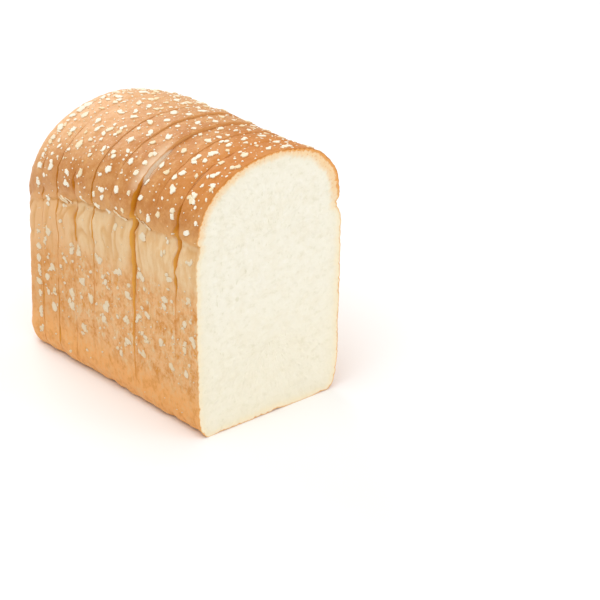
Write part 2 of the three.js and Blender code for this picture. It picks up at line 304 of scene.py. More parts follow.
def torn_line(cut, rise, y):
    """How high over the crease the torn strands of a cut lie."""
    return rise * (1 - (cut - y) / TORN_LENGTH)


def torn_crust(y, over):
    """How deep the slits between torn strands are, from 0 to 1."""
    slits = 0
    for cut, rise in TORN_CUTS:
        across = over - torn_line(cut, rise, y)
        inside = smooth_step(1, TORN_START, cut - y) * smooth_step(TORN_LENGTH, TORN_LENGTH - 4, cut - y)
        strand = noise(np.stack((0 * y, y, across), -1), SLIT_SIZE, 28)
        slits = slits + inside * hump(across, 0, TORN_HALF_WIDTH) * smooth_step(-0.1, 0.5, strand)
    return slits


def crust_relief(points, height, shape):
    """How far the crust stands out, how high it lies over the crease, and how deep in a fold it is."""
    x, y, z = np.moveaxis(points, -1, 0)
    over = height - crease_height(points)
    crown = smooth_step(-1, 3, over)
    middle = 1 - (2 * np.clip(along_at(y), 0, 1) - 1) ** 2

    swell = noise(points, SWELL_SIZE, 21) * mix(SWELL_ON_SIDE, SWELL_ON_CROWN, crown)
    swell += noise(points, LUMP_SIZE, 20) * LUMP_HEIGHT
    fine = noises(points, FINE_RELIEF) * mix(1, FINE_ON_CROWN, crown)

    bend = noises(points, FOLD_BENDS)
    folded = np.stack((x + bend, y + bend, height), -1)
    ridges = 1 - np.abs(noise(folded, FOLD_SIZE, 25)) * 3
    band = smooth_step(*FOLD_FOOT, over) * smooth_step(*FOLD_TOP, over)
    patches = smooth_step(-0.5, 0.2, noise(points, FOLDED_PATCH_SIZE, 26))
    fold = smooth_step(0.3, 1, ridges) * band * patches
    ripples = noise(folded, RIPPLE_SIZE, 19) * RIPPLE_HEIGHT * band
    fibres = noise(folded, FIBRE_SIZE, 30) * FIBRE_HEIGHT * (1 - crown) * smooth_step(2, 20, height)

    open_crease = smooth_step(-0.35, 0.3, noise(points * (1, 1, 0), 11, 29))
    crease = hump(over, 0, CREASE_WIDTH) * mix(0.25, 1.0, open_crease)
    lip = hump(over, *LIP[:2]) * LIP[2] - hump(over, *DIP[:2]) * DIP[2]
    lip += shape.bulge * smooth_step(0, 9, over) * smooth_step(38, 20, over) * middle
    lip -= shape.hollow * smooth_step(40, 62, height) * smooth_step(96, 76, height) * middle

    torn = torn_crust(y, over)
    out = swell * shape.swell + fine + lip + ripples + fibres
    out -= shape.fold_depth * fold + shape.crease_depth * np.maximum(crease, torn)
    uneven_foot = FOOT_WAVE * noise(points * (1, 1, 0.4), FOOT_WAVE_SIZE, 27) * smooth_step(26, 8, z)
    return out * smooth_step(0.5, 7, z) + uneven_foot, over, np.clip(fold + crease * 0.8 + torn, 0, 1)


def crumb_relief(points, depth):
    """How far the pores and the knife's waves go into a cut face."""
    waves = KNIFE_WAVE * (1 + noise(points, KNIFE_WAVE_SIZE, 31))
    pores = smooth_step(0.12, 0.62, noise(points, PORE_SIZE, 32))
    long_pores = smooth_step(0.1, 0.6, noise(points, LONG_PORE_SIZE, 33))
    return (waves + PORE_DEPTH * (pores + long_pores)) * smooth_step(0.3, 1.4, depth)


# ---- Meshes ----

HALF_POINTS = 321               # outline points on each half of a slice's fine mesh
ROW_STEP = 0.75                 # between the crust's rows, across the slice
HEEL_STEPS = 18                 # steps of the heel's curve

GROOVE_DEPTH = 1.1              # a groove's depth as a share of its width
RIM_ROUND = (0.02, 0.28)        # rounding of a slice's edges: the least, and how much more for 1 mm of gap
SHOWN_RIM_ROUND, RIM_TEAR, RIM_TEAR_SIZE = 0.15, 0.8, 2.2
RIM_WAVE, RIM_WAVE_SIZE = 0.1, 2.5
# How far in from the crust the rings of a cut face lie. The front face shows whole.
HIDDEN_FACE_RINGS = (0.35, 0.75, 1.2, 1.7, 2.3, 3, 4, 5.5, 8, 12, 18, 26, 36, 45)
SHOWN_FACE_RINGS = (0.35, 0.75, 1.2, 1.7, 2.3, *np.arange(3, 45.5, 0.75))
FACE_REACH = 47.5               # the way from the crust to the middle of a cut face
SPINE_FOOT, SPINE_BELOW_TOP = 46, 48
SHADED_WALL = 0.3               # the share of a groove's depth that counts, so that crust colour, with its painted bounce light and painted shade, shows further in

DROOP_REACH, WIDEST_DROOP, DROOP_BY_GAP = 4, 1.5, 2.2
DROOP_WAVE, DROOP_WAVE_SIZE = 0.9, 5
# A slice whose crown sinks on the left towards the next one, and how far. Both edges are worn pale.
SUNKEN_BACKS = {2: 2.5}
SUNKEN_OVER, SUNKEN_LEFT = (13, 24), (-14, -32)   # where this starts and is full, over the crease and in x
SUNKEN_REACH, WORN_REACH, PALE_REACH = (8, 0), (8, 1), (5, 0)   # and from the cut
WORN_SINK, FULLY_PALE = 0.4, 3.4


def resample(points, count):
    """The same line with its points at even steps."""
    lengths = np.hypot(*np.diff(points, axis=0).T)
    walked = np.concatenate(([0], np.cumsum(lengths)))
    places = np.linspace(0, walked[-1], count)
    return np.stack([np.interp(places, walked, points[:, axis]) for axis in (0, 1)], -1)


def ring_outline(piece, y):
    """The closed fine outline as x and z, from the middle of the base by the right side, and its normals."""
    right, left = (resample(half, HALF_POINTS) for half in piece.halves(y, FINE))
    ring = np.concatenate((right, left[-2:0:-1]))
    along = np.roll(ring, -2, 0) - np.roll(ring, 2, 0)
    along /= np.hypot(*along.T)[:, None]
    ring[:, 0] += piece.lean_at(ring[:, 1])
    return ring, np.stack((along[:, 1], -along[:, 0]), -1)


def add_object(name, data):
    added = bpy.data.objects.new(name, data)
    bpy.context.scene.collection.objects.link(added)
    return added


def make_piece(name, points, faces, values, material, node=None):
    """Makes a mesh piece from points in millimetres, with named values on its points."""
    mesh = bpy.data.meshes.new(name)
    mesh.from_pydata((np.asarray(points) * METRES).tolist(), [], faces)
    mesh.polygons.foreach_set("use_smooth", [True] * len(mesh.polygons))
    for value_name, numbers in values.items():
        layer = mesh.attributes.new(value_name, "FLOAT", "POINT")
        layer.data.foreach_set("value", np.asarray(numbers, np.float32).ravel())
    mesh.materials.append(material)
    mesh.validate()
    piece = add_object(name, mesh)
    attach(piece, "root")
    if node:
        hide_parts(node)


def tube_faces(rings, count):
    """Four-sided faces between rings, and strips that close the first and the last ring."""
    r, i = np.meshgrid(np.arange(rings - 1), np.arange(count), indexing="ij")
    j = (i + 1) % count
    corners = (r * count + i, (r + 1) * count + i, (r + 1) * count + j, r * count + j)
    faces = np.stack(corners, -1).reshape(-1, 4).tolist()
    last = (rings - 1) * count
    for k in range(count // 2):
        right, up_right, up_left, left = k, k + 1, (count - k - 1) % count, (count - k) % count
        strip = list(dict.fromkeys((right, up_right, up_left, left)))
        faces.append(strip)
        faces.append([last + corner for corner in reversed(strip)])
    return faces


class Rings:
    """The rings of a slice, from the middle of its front face over the crust to the middle of its back.

    A ring holds its points, their depth under the crust, their height over the crease and their fold.
    """

    def __init__(self, piece, shape):
        self.piece, self.shape = piece, shape
        self.front, self.end = ring_outline(piece, piece.front), ring_outline(piece, piece.end)

    def droop(self, points, from_cut, gap):
        """How far the crust sinks towards a cut. It sinks most where the gap is wide, and unevenly."""
        uneven = 1 + DROOP_WAVE * noise(points, DROOP_WAVE_SIZE, 45)
        by_gap = np.minimum(DROOP_BY_GAP * gap, WIDEST_DROOP)
        return self.shape.slice_droop * by_gap * smooth_step(DROOP_REACH, 0, from_cut) * uneven

    def skin(self, y, inset=0.0, turned=0.0, scale=(1.0, 1.0, 0.0)):
        """A ring of the crust. It is turned from facing sideways, 0, to facing along the loaf, 1."""
        piece = self.piece
        from_front, from_back = y - piece.front, piece.back - y
        part = np.clip(from_front / (piece.end - piece.front), 0, 1) * np.ones(len(self.front[0]))
        (x, z), (across, up) = (mix(a, b, part[:, None]).T for a, b in zip(self.front, self.end))
        lean = piece.lean_at(z)
        points = np.stack(((x - lean) * scale[0] + lean, y + 0 * x, z * scale[1] + scale[2]), -1)
        out, over, fold = crust_relief(points, z, self.shape)
        droop = self.droop(points, from_front, piece.front_gap(z))
        droop += self.droop(points, from_back, piece.back_gap(z))
        worn_crown = smooth_step(*SUNKEN_OVER, over) * smooth_step(*SUNKEN_LEFT, x)
        sunken = SUNKEN_BACKS.get(piece.index, 0) * worn_crown
        worn = SUNKEN_BACKS.get(piece.index - 1, 0) * worn_crown * smooth_step(*WORN_REACH, from_front)
        droop += sunken * smooth_step(*SUNKEN_REACH, from_back) + WORN_SINK * worn
        fold = fold - (sunken * smooth_step(*PALE_REACH, from_back) + worn) / FULLY_PALE
        sideways, along = math.cos(turned * math.pi / 2), math.sin(turned * math.pi / 2)
        outward = np.stack((across * sideways, 0 * x + along, up * sideways), -1)
        points = points + outward * (out - droop - inset)[:, None]
        points[:, 2] = np.maximum(points[:, 2], 0)
        return points, 0 * x, over, fold

    def inner(self, rim, inset):
        """The points of a ring between a face's rim and the spine, their depth and the share of the way."""
        points = rim[0]
        spine = points.copy()
        spine[:, 0] = self.piece.lean
        spine[:, 2] = np.clip(points[:, 2], SPINE_FOOT, points[:, 2].max() - SPINE_BELOW_TOP)
        share = inset / FACE_REACH
        return mix(points, spine, share), np.hypot(*(points - spine)[:, (0, 2)].T) * share, share

    def cut_face(self, rim, inset, side, gap):
        """A ring of crumb. Side is -1 in front and 1 behind. A gap closes a little way in."""
        points, depth, share = self.inner(rim, inset)
        fold = rim[3] * (1 - share)
        if gap is None:
            points[:, 1] -= side * crumb_relief(points, depth)
            return points, depth, rim[2], fold
        closed = 1 - np.exp(-depth / (2 * GROOVE_DEPTH * gap))
        points[:, 1] += side * (gap - GAP_AT_FOOT / 2) * closed
        bare = self.piece.index - 1 in SUNKEN_BACKS and side < 0
        # in a groove, depths count down from -1; off a bare face only a share of the depth counts, so that
        # the crust colour with its painted bounce light and shade reaches further in
        return points, -1 - depth * (1 if bare else SHADED_WALL), rim[2], fold

    def heel_face(self, rim, inset, scale):
        """A ring of the heel's outer face, which is crust as well."""
        points, _, _ = self.inner(rim, inset)
        points[:, 1] = self.piece.back
        out, over, fold = crust_relief(points, (points[:, 2] - scale[2]) / scale[1], self.shape)
        points[:, 1] += out
        return points, 0 * out, over, fold

    def heel_rings(self):
        """The heel's curve and its outer face."""
        piece, rings = self.piece, []
        for angle in np.linspace(0, math.pi / 2, HEEL_STEPS)[1:]:
            turned = 1 - math.cos(angle)
            base, crown = HEEL_BASE_ROUND * turned, HEEL_CROWN_ROUND * turned
            scale = 1 - HEEL_SIDE_ROUND * turned / piece.half_width, 1 - (base + crown) / piece.height, base
            y = piece.back - HEEL_BEND * (1 - math.sin(angle))
            rings.append(self.skin(y, 0, angle / (math.pi / 2), scale))
        return rings + [self.heel_face(rings[-1], inset, scale) for inset in SHOWN_FACE_RINGS]

    def cut_edge(self, cut, outline, y, side):
        """Where a cut face meets the crust, how round that edge is, and half of the gap beside it."""
        stray, gap = cut_line(cut, *outline[0].T)
        return y + stray - side * gap, RIM_ROUND[0] + RIM_ROUND[1] * gap, gap

    def shown_edge(self):
        """The same for the front face of the loaf, which has a ragged edge and no gap beside it."""
        x, z = self.front[0].T
        place = np.stack((x, 0 * x, z), -1)
        wave = RIM_WAVE * (1 + noise(place, RIM_WAVE_SIZE, 41))
        torn = RIM_TEAR * smooth_step(-0.2, 0.8, noise(place, RIM_TEAR_SIZE, 42))
        return self.piece.front + wave, SHOWN_RIM_ROUND + torn, None

    def face_rings(self, y, edge, gap, side, insets):
        """The rings of a cut face, from the crust's rounded edge inwards."""
        rim = self.skin(y, edge)
        rounded = self.skin(y - side * edge * 0.25, edge * 0.3)
        return [rounded, rim] + [self.cut_face(rim, inset, side, gap) for inset in insets]

    def build(self):
        piece = self.piece
        if piece.index:
            front, edge, gap = self.cut_edge(piece.index - 1, self.front, piece.front, -1)
            insets = HIDDEN_FACE_RINGS
        else:
            front, edge, gap = self.shown_edge()
            insets = SHOWN_FACE_RINGS
        rings = self.face_rings(front, edge, gap, -1, insets)[::-1]
        if piece.is_heel:
            end, end_edge, last_rings = piece.end, 0, self.heel_rings()
        else:
            end, end_edge, gap = self.cut_edge(piece.index, self.end, piece.end, 1)
            last_rings = self.face_rings(end, end_edge, gap, 1, HIDDEN_FACE_RINGS)
        rows = round((piece.back - piece.front) / ROW_STEP)
        rings += [self.skin(mix(front + edge, end - end_edge, t)) for t in np.linspace(0, 1, rows)]
        return rings + last_rings


def build_slice(index, material, shape):
    piece = Slice(index)
    rings = Rings(piece, shape).build()
    points, depth, over, fold = (np.stack(part) for part in zip(*rings))
    faces = tube_faces(len(rings), points.shape[1])
    values = {"depth": depth, "over_crease": over, "fold": fold}
    make_piece(f"{piece.name}_bread", points.reshape(-1, 3), faces, values, material, piece.name)


# ---- Oat flakes: where they lie ----

FLAKES_PER_SLICE, FLAKES_ON_HEEL_FACE = 32, 16
# Half of a flake's length, from the largest to the smallest.
LARGE_FLAKES, SMALL_FLAKES, CLUMPED_FLAKES, OAT_BITS = (2.7, 1.5), (1.5, 0.9), (2.2, 0.7), (0.85, 0.25)
SLIMNESS = 0.62, 0.92           # a flake's width as a share of its length
REACH, REACHES = (0.84, 1.1), 6   # how far its outline reaches, and in how many directions that is drawn
FLAKE_CLEARANCE = 0.4
HEEL_FACE_MARGIN, HEEL_FACE_HEIGHTS = 7, (26, 100)
CROWN_FLAKES_UP, TOP_FLAKES_UP = (0, 9), (8, 30)   # over the crease
SIDE_FLAKES_UP, SIDE_FLAKES_DOWN = (24, 40), (20, 34)   # over the foot, and under the crease
SHOULDER_FLAKE_SHARE, SIDE_FLAKE_SHARE, STRAY_FLAKE_SHARE = 0.5, 0.36, 0.03
FLAKE_TRIES, FLAKE_SEED = 7, 41
CLUMPS_DOWN_SIDE, BELOW_CREASE = 0.5, 8         # the share of clumps down there, and where that starts
CLUMP_DISTANCE = 0.6, 1.15      # between two flakes, as a share of their half lengths together
CRUST_WAY = 370                 # about how far it is round a slice's crust
BITS_KEPT, BITS_KEPT_OVER = (0.55, 1), (6, 34)   # the share of bits low down and on top, and where it changes
# Bits on the rounded upper part of the heel's face: how many, their sizes and heights, how high their
# arch rises and how far under the face's plane they lie.
DOME_BITS, DOME_BIT_SIZES, HEEL_DOME, DOME_RISE, DOME_DEPTH = 130, (0.3, 2.6), (96, 132), 42, 3


def seeded_random(seed):
    """A repeatable source of numbers from 0 to 1."""
    state = seed & WORD

    def draw():
        nonlocal state
        state = (state + 0x6D2B79F5) & WORD
        t = (state ^ (state >> 15)) * (state | 1) & WORD
        t ^= (t + ((t ^ (t >> 7)) * (t | 61) & WORD)) & WORD
        return (t ^ (t >> 14)) / (WORD + 1)

    return draw


def flake_density(z, crease):
    top = smooth_step(*TOP_FLAKES_UP, z - crease)
    crown = smooth_step(*CROWN_FLAKES_UP, z - crease) * mix(SHOULDER_FLAKE_SHARE, 1, top)
    side = smooth_step(*SIDE_FLAKES_UP, z) * smooth_step(*SIDE_FLAKES_DOWN, crease - z)
    return max(crown, SIDE_FLAKE_SHARE * side, STRAY_FLAKE_SHARE)


def crust_walk(piece, y):
    """Walks from the foot of the right side over the crown to the foot of the left side."""
    right, left = (half[half[:, 1] >= CORNER_HEIGHT / 2] for half in piece.halves(y, COARSE))
    way = np.concatenate((right, left[:-1][::-1]))
    way[:, 0] += piece.lean_at(way[:, 1])
    steps = np.diff(way, axis=0)
    lengths = np.hypot(*steps.T)
    walked = np.concatenate(([0], np.cumsum(lengths)))

    def at(share):
        distance = share * walked[-1]
        i = min(int(np.searchsorted(walked, distance, "left")) - 1, len(lengths) - 1)
        i = max(i, 0)
        point = way[i] + steps[i] * (distance - walked[i]) / lengths[i]
        along = steps[i] / lengths[i]
        return Vector((point[0], 0, point[1])), Vector((along[1], 0, -along[0])), distance

    return at


def emptiest_place(draw_place, taken):
    """The emptiest of a few places, so that the flakes are spread evenly but not in rows."""
    best, best_room = None, -1
    for _ in range(FLAKE_TRIES):
        place = draw_place()
        room = min((math.dist(place["map"], other) for other in taken), default=1000)
        if room > best_room:
            best, best_room = place, room
    taken.append(best["map"])
    return best


def draw_flake(place, half_length, random):
    """The turn, slimness and outline of a flake."""
    turn = random() * math.pi * 2
    slimness = mix(*SLIMNESS, random())
    reach = [mix(*REACH, random()) for _ in range(REACHES)]
    return dict(place, half_length=half_length, turn=turn, slimness=slimness, reach=reach)


def half_lengths(count, sizes):
    return [mix(*sizes, n / max(count - 1, 1)) for n in range(count)]


class CrustPlaces:
    """Draws places for flakes on a slice's crust, thickly on the crown and thinly down the side."""

    def __init__(self, piece, random):
        self.piece, self.random = piece, random
        self.middle = (piece.front + piece.end) / 2
        self.walks = [crust_walk(piece, y) for y in (self.middle, piece.front, piece.end)]

    def draw(self, margin):
        share = self.random()
        while self.random() > flake_density(self.walks[0](share)[0].z, crease_at(self.middle)):
            share = self.random()
        return self.settle(share, margin, self.random())

    def settle(self, share, margin, across):
        """The place at a share of the way round the crust and a share of the way across the slice."""
        piece = self.piece
        walk, in_front, behind = self.walks
        point, _, walked = walk(share)
        first = piece.front + piece.front_gap(point.z) + margin
        last = max(first, piece.end - piece.back_gap(point.z) - margin)
        y = mix(first, last, across)
        point, outward, _ = in_front(share)
        point = point.lerp(behind(share)[0], (y - piece.front) / (piece.end - piece.front))
        return {"point": Vector((point.x, y, point.z)), "outward": outward, "map": (walked, y),
                "share": share, "across": across}


def crust_flakes(places, count, sizes, taken, random):
    flakes = []
    for half_length in half_lengths(count, sizes):
        margin = half_length * REACH[1] + FLAKE_CLEARANCE
        flakes.append(draw_flake(emptiest_place(lambda: places.draw(margin), taken), half_length, random))
    return flakes


def over_crease(flake):
    return flake["point"].z - crease_at(flake["point"].y)


def clumped_flakes(places, count, parents, random):
    """Small flakes that lie against larger ones."""
    flakes, piece = [], places.piece
    low = [each for each in parents if over_crease(each) < -BELOW_CREASE]
    for half_length in half_lengths(count, CLUMPED_FLAKES):
        chosen = low if low and random() < CLUMPS_DOWN_SIDE else parents
        parent = chosen[int(random() * len(chosen))]
        angle = random() * 2 * math.pi
        away = (parent["half_length"] + half_length) * mix(*CLUMP_DISTANCE, random())
        share = parent["share"] + math.cos(angle) * away / CRUST_WAY
        across = parent["across"] + math.sin(angle) * away / (piece.end - piece.front)
        share, across = (min(max(value, 0.0), 1.0) for value in (share, across))
        place = places.settle(share, half_length * REACH[1] + FLAKE_CLEARANCE, across)
        flakes.append(draw_flake(place, half_length, random))
    return flakes


def place_on_heel_face(piece, x, z, depth=0):
    return {"point": Vector((x + piece.lean_at(z), piece.back - depth, z)), "outward": Vector((0, 1, 0)),
            "map": (x, z)}


def heel_face_flakes(piece, random):
    half_width = piece.half_width - HEEL_SIDE_ROUND - HEEL_FACE_MARGIN
    taken, flakes = [], []

    def draw_place():
        x = mix(-half_width, half_width, random())
        return place_on_heel_face(piece, x, mix(*HEEL_FACE_HEIGHTS, random()))

    for half_length in half_lengths(FLAKES_ON_HEEL_FACE, LARGE_FLAKES):
        flakes.append(draw_flake(emptiest_place(draw_place, taken), half_length, random))
    return flakes


def heel_dome_bits(piece, random):
    bits = []
    for _ in range(DOME_BITS):
        z = mix(*HEEL_DOME, random())
        reach = piece.half_width * math.sqrt(1 - ((z - HEEL_DOME[0]) / DOME_RISE) ** 2) - HEEL_FACE_MARGIN
        place = place_on_heel_face(piece, mix(-reach, reach, random()), z, DOME_DEPTH)
        bits.append(draw_flake(place, mix(*DOME_BIT_SIZES, random() ** 2), random))
    return bits


# ---- Flakes, bits and strands: their shape ----

# Rings from the sunken foot to the top: size, height as a share of the thickness, and how browned the
# edge is there.
FLAKE_SIDES, BIT_SIDES, STRAND_SIDES = 16, 7, 12
FLAKE_RINGS = ((0.96, -0.9, 1.0), (1.0, 0.3, 0.9), (0.93, 0.82, 0.35), (0.72, 1.0, 0.08), (0.36, 0.97, 0.0))
BIT_RINGS = ((0.95, -0.8, 1.0), (1.0, 0.35, 0.6), (0.6, 1.0, 0.1))
STRAND_RINGS = ((0.97, -1.0, 1.0), (1.0, 0.2, 0.7), (0.8, 0.8, 0.2), (0.45, 1.0, 0.0))
FLAKE_THICKNESS = 0.5, 0.75     # down the side and on the crown
THICKEST_FLAKE, BIT_THICKNESS = 0.42, 0.75      # as shares of half the length
MOST_CURL, FRAYING, BREAKS_AT = 0.5, 0.4, (0.45, 1.3)
FLAKE_GROOVE, GROOVED_ABOVE = 0.16, 0.9         # a groove's depth and width along the top of each flake
RAY_START = 6                  # how far outside the crust the search for its surface starts

STRANDS_BY_CUT, STRAND_SEED = 9, 7
STRAND_SIZES, STRAND_SLANTS, STRAND_REACH = (1.5, 3.4), (62, 84), (0.8, 1.1)
STRAND_SLIMNESS, STRAND_THICKNESS = 0.2, 0.7


class Scatter:
    """Collects many small discs that follow the crust, as the arrays of one mesh."""

    def __init__(self, sides, rings):
        self.sides, self.rings = sides, rings
        self.points, self.faces = [], []
        self.values = {"edge": [], "toast": [], "over_crease": []}

    def add(self, bread, flake, thickness, random):
        """Lays one disc on the bread. Every point of it stands on the crust under it."""
        outward = flake["outward"]
        reference = Vector((1, 0, 0)) if abs(outward.y) > 0.9 else Vector((0, 1, 0))
        first = outward.cross(reference).normalized()
        disc = dict(flake, axes=(first, outward.cross(first)), thickness=thickness, toast=random(),
                    curl=(random() - 0.5) * MOST_CURL)
        angles = [2 * math.pi * side / self.sides for side in range(self.sides)]
        # a chord breaks off one side, and the outline is frayed
        broken_side, break_at = random() * 2 * math.pi, mix(*BREAKS_AT, random())
        ragged = [min(1 + (random() - 0.5) * FRAYING, break_at / max(math.cos(angle - broken_side), 0.01))
                  for angle in angles]
        start = len(self.points)
        for size, height, edge in self.rings:
            for angle, rough in zip(angles, ragged):
                self.add_point(bread, disc, angle, size * rough, height, edge)
        self.add_point(bread, disc, 0, 0, self.rings[-1][1], 0)
        self.close(start)

    def add_point(self, bread, disc, angle, size, height, edge):
        place = angle / (2 * math.pi) * REACHES
        low = int(place) % REACHES
        ease = smooth_step(0, 1, place - int(place))
        reach = mix(disc["reach"][low], disc["reach"][(low + 1) % REACHES], ease)
        half_length, turn, outward = disc["half_length"], disc["turn"], disc["outward"]
        long = math.cos(angle) * half_length * reach * size
        short = math.sin(angle) * half_length * disc["slimness"] * reach * size
        u = long * math.cos(turn) - short * math.sin(turn)
        v = long * math.sin(turn) + short * math.cos(turn)
        anchor = disc["point"] + disc["axes"][0] * u + disc["axes"][1] * v
        hit, spot, _, _ = bread.ray_cast((anchor + outward * RAY_START) * METRES, -outward,
                                         distance=RAY_START * 2 * METRES)
        ground = spot / METRES if hit else anchor
        lift = disc["curl"] * (long * long - short * short) / half_length ** 2 if height > 0 else 0
        groove = FLAKE_GROOVE * hump(short, 0, FLAKE_GROOVE * half_length) if height > GROOVED_ABOVE else 0
        self.points.append(ground + outward * (disc["thickness"] * (height + lift - groove)))
        self.values["edge"].append(edge)
        self.values["toast"].append(disc["toast"])
        self.values["over_crease"].append(anchor.z - seen_crease_at(anchor.y))

    def close(self, start):
        """Joins the rings of the disc that was added last."""
        sides = self.sides
        for ring, side in product(range(len(self.rings) - 1), range(sides)):
            a, b = start + ring * sides + side, start + ring * sides + (side + 1) % sides
            self.faces.append((a, b, b + sides, a + sides))
        top = start + (len(self.rings) - 1) * sides
        middle = top + sides
        self.faces += [(top + side, top + (side + 1) % sides, middle) for side in range(sides)]
        self.faces.append(tuple(start + side for side in reversed(range(sides))))

    def make(self, name, material, slot):
        make_piece(name, self.points, self.faces, self.values, material)


def torn_strands(cut, rise, random):
    """Slanting strands over the crease on both sides of the loaf, in front of a cut."""
    strands = []
    for _, side in product(range(STRANDS_BY_CUT), (-1, 1)):
        half_length = mix(*STRAND_SIZES, random())
        y = cut - TORN_START - half_length - random() * (TORN_LENGTH - TORN_START - 2 * half_length)
        over = torn_line(cut, rise, y) + mix(-1, 1, random()) * TORN_HALF_WIDTH
        slant = math.radians(mix(*STRAND_SLANTS, random()))
        strands.append({"point": Vector((side * RIM_HALF_WIDTH, y, seen_crease_at(y) + over)),
                        "outward": Vector((side, 0, 0)), "half_length": half_length,
                        "turn": slant if side < 0 else math.pi - slant, "slimness": STRAND_SLIMNESS,
                        "reach": [mix(*STRAND_REACH, random()) for _ in range(REACHES)]})
    return strands


def bread_under(name):
    bread = bpy.data.objects.get(f"{name}_bread")
    if bread is None:
        raise RuntimeError(f"add the slices first: there is no bread for {name}")
    return bread


# ---- Shader graphs ----

def both_ways(operation):
    """An operator for a wire on its left and one for a wire on its right."""
    return (lambda wire, other: wire.graph.maths(operation, wire, other),
            lambda wire, other: wire.graph.maths(operation, other, wire))


class Wire:
    """A value in a material. Arithmetic on it adds Math nodes."""

    def __init__(self, graph, socket):
        self.graph, self.socket = graph, socket

    __add__, __radd__ = both_ways("ADD")
    __sub__, __rsub__ = both_ways("SUBTRACT")
    __mul__, __rmul__ = both_ways("MULTIPLY")


class Graph:
    """A material and the nodes that are put into it."""

    def __init__(self, name):
        self.material = bpy.data.materials.new(name)
        self.material.use_nodes = True
        self.tree = self.material.node_tree
        self.tree.nodes.clear()

    def node(self, kind, settings=None, sockets=None, output=0):
        """Adds a node. Its settings come first, then the values or wires of its sockets."""
        node = self.tree.nodes.new(kind)
        for name, value in (settings or {}).items():
            setattr(node, name, value)
        for key, value in (sockets or {}).items():
            socket = self.find(node.inputs, key)
            if isinstance(value, Wire):
                self.tree.links.new(value.socket, socket)
            else:
                socket.default_value = value
        return Wire(self, self.find(node.outputs, output))

    @staticmethod
    def find(sockets, key):
        if isinstance(key, int):
            return sockets[key]
        return next(socket for socket in sockets if key in (socket.identifier, socket.name))

    def maths(self, operation, a, b):
        return self.node("ShaderNodeMath", {"operation": operation}, {0: a, 1: b})

    def attribute(self, name):
        return self.node("ShaderNodeAttribute", {"attribute_name": name}, output="Fac")

    def position(self, *stretch):
        """The place on the part in millimetres, stretched along its axes if that is given."""
        place = self.node("ShaderNodeTexCoord", output="Object")
        factors = [value / METRES for value in stretch or (1, 1, 1)]
        return self.node("ShaderNodeVectorMath", {"operation": "MULTIPLY"}, {0: place, 1: factors})

    def noise(self, place, size, detail=2.0, roughness=0.5):
        """Noise from 0 to 1 with lumps of the given size in millimetres."""
        sockets = {"Vector": place, "Scale": 1 / size, "Detail": detail, "Roughness": roughness}
        return self.node("ShaderNodeTexNoise", {}, sockets)

    def step(self, value, low, high):
        """Goes smoothly from 0 at low to 1 at high."""
        sockets = {"Value": value, "From Min": low, "From Max": high, "To Min": 0.0, "To Max": 1.0}
        return self.node("ShaderNodeMapRange", {"interpolation_type": "SMOOTHSTEP"}, sockets)

    def blend(self, amount, a, b):
        """A colour between two others."""
        settings = {"data_type": "RGBA", "clamp_factor": True}
        a, b = (colour if isinstance(colour, Wire) else (*colour, 1.0) for colour in (a, b))
        sockets = {"Factor_Float": amount, "A_Color": a, "B_Color": b}
        return self.node("ShaderNodeMix", settings, sockets, "Result_Color")

    def layers(self, colour, *layers):
        """Colours over each other. Each shows as its value goes from low to high, times its strength."""
        for value, low, high, strength, shown in layers:
            colour = self.blend(self.step(value, low, high) * strength, colour, shown)
        return colour

    def bump(self, height, distance, strength):
        """A normal from a height between 0 and 1, where 1 stands for a distance in millimetres."""
        return self.node("ShaderNodeBump", {}, {"Height": height, "Distance": distance * METRES,
                                                "Strength": strength})

    def finish(self, sockets):
        """Ends the material in one surface shader."""
        shader = self.node("ShaderNodeBsdfPrincipled", {}, sockets)
        output = self.tree.nodes.new("ShaderNodeOutputMaterial")
        self.tree.links.new(shader.socket, output.inputs["Surface"])
        return self.material


# ---- Materials ----
# In each list of layers a row has a value, the low and high that it goes between, a strength and a colour.

def bread_values(g):
    """What the bread's colours go by: measures in millimetres, and noises from 0 to 1."""
    place = g.position()
    width, length, height = (g.node("ShaderNodeSeparateXYZ", {}, {0: place}, axis) for axis in "XYZ")
    return SimpleNamespace(
        place=place, width=width, length=length, height=height,
        depth=g.attribute("depth"), over=g.attribute("over_crease"), fold=g.attribute("fold"),
        patches=g.noise(place, 22),
        mottle=g.noise(place, 6, 4.0, 0.62),
        blotches=g.noise(g.position(1, 1, 0.8), 4.2, 5.0, 0.64),
        speckle=g.noise(place, 1.5, 3.0, 0.65),
        streaks=g.noise(g.position(1, 1, 0.45), 5.5, 4.0, 0.6),
        fibres=g.noise(g.position(1, 1, 0.12), 1.8, 3.0, 0.6),
        pores=g.noise(g.position(0.8, 1, 1.1), 3.4, 5.0, 0.66),
    )


